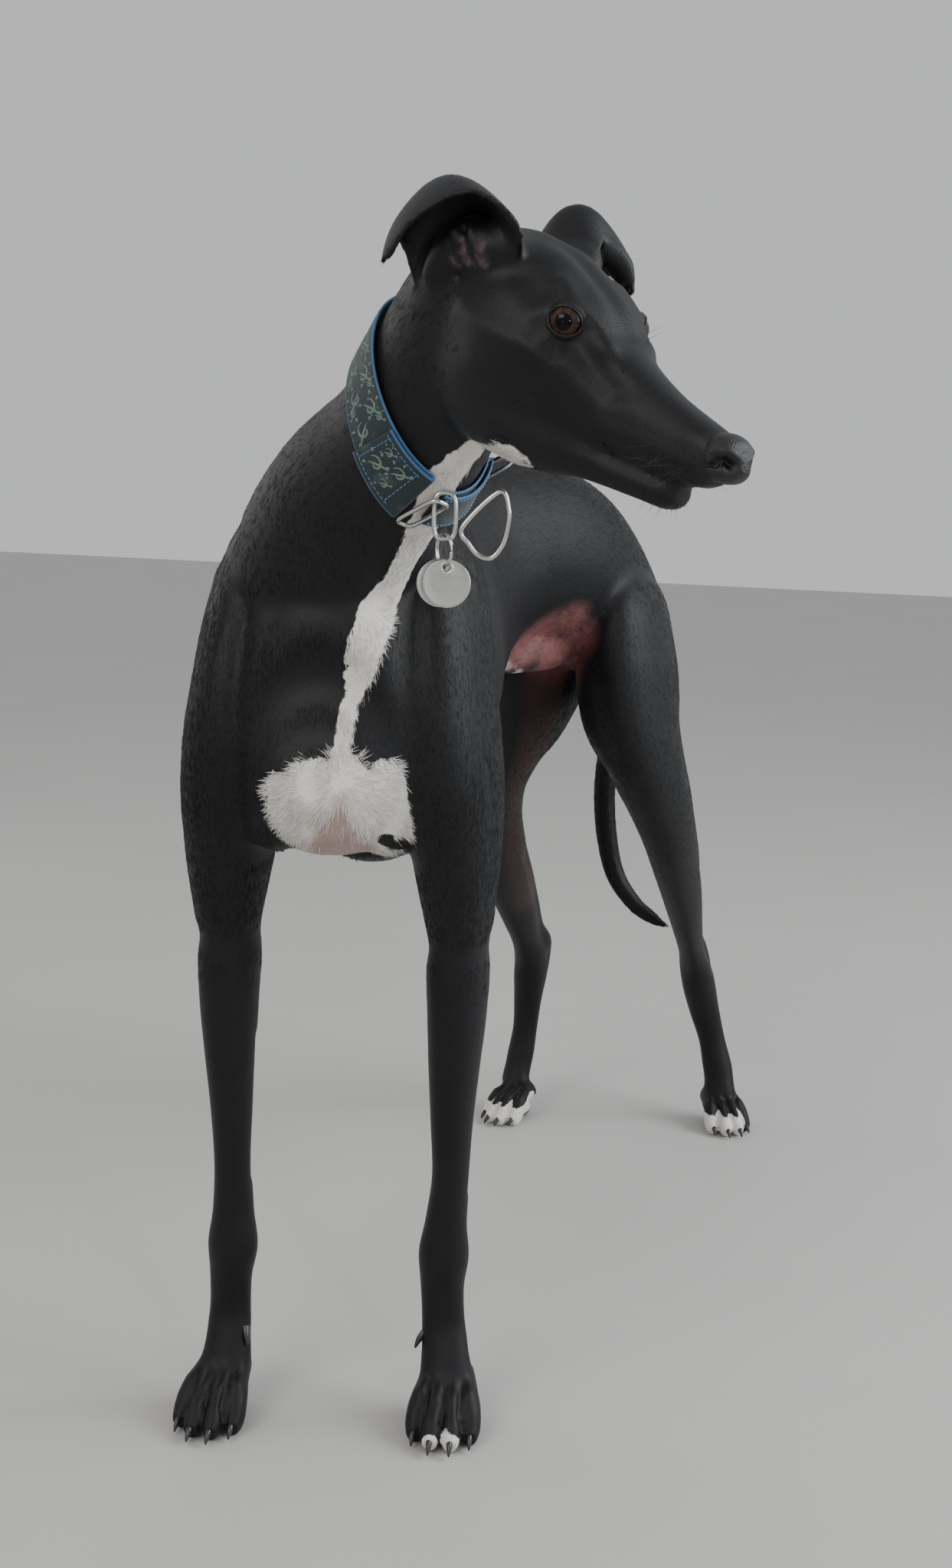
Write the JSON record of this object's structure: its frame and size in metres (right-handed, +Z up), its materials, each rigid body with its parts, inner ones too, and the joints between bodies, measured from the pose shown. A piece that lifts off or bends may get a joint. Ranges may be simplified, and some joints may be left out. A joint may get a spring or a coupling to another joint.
{
  "type": "greyhound",
  "caption": "Standing greyhound, black with white marks, head turned to its left, wearing a patterned collar with hanging tags; a still life-size model.",
  "frame": {"origin": "on the floor, under the middle of the whole dog's box", "axes": "the dog's chest faces -Y and its tail +Y; its left side is towards +X; +Z is up"},
  "size_m": [0.4724, 0.9542, 0.8977],
  "materials": {
    "coat": "short smooth black hair with white marks and a soft sheen",
    "eye": "wet, dark brown iris",
    "nose_skin": "moist grained dark grey skin",
    "webbing": "woven dark blue-green webbing with a pale scroll pattern",
    "nickel": "plated wire, lightly worn",
    "tag_metal": "bare, finely brushed"
  },
  "bodies": {
    "root": {"nose": "nose_skin", "lower_jaw": "coat", "head": "coat", "ear_right": "coat", "ear_left": "coat", "eye_right": "eye", "eye_left": "eye", "neck": "coat", "front_paw_right": "coat", "front_pastern_right": "coat", "forearm_right": "coat", "upper_foreleg_right": "coat", "hind_paw_right": "coat", "rear_pastern_right": "coat", "lower_thigh_right": "coat", "thigh_right": "coat", "front_paw_left": "coat", "front_pastern_left": "coat", "forearm_left": "coat", "upper_foreleg_left": "coat", "hind_paw_left": "coat", "rear_pastern_left": "coat", "lower_thigh_left": "coat", "thigh_left": "coat", "chest": "coat", "loin": "coat", "rump": "coat", "tail_root": "coat", "tail_middle": "coat", "tail_tip": "coat", "collar_band": "webbing", "collar_loop": "webbing", "collar_ring_right": "nickel", "collar_ring_left": "nickel", "link": "nickel", "split_ring": "nickel", "tag_front": "tag_metal", "tag_rear": "tag_metal", "lead_ring": "nickel"}
  },
  "joints": []
}
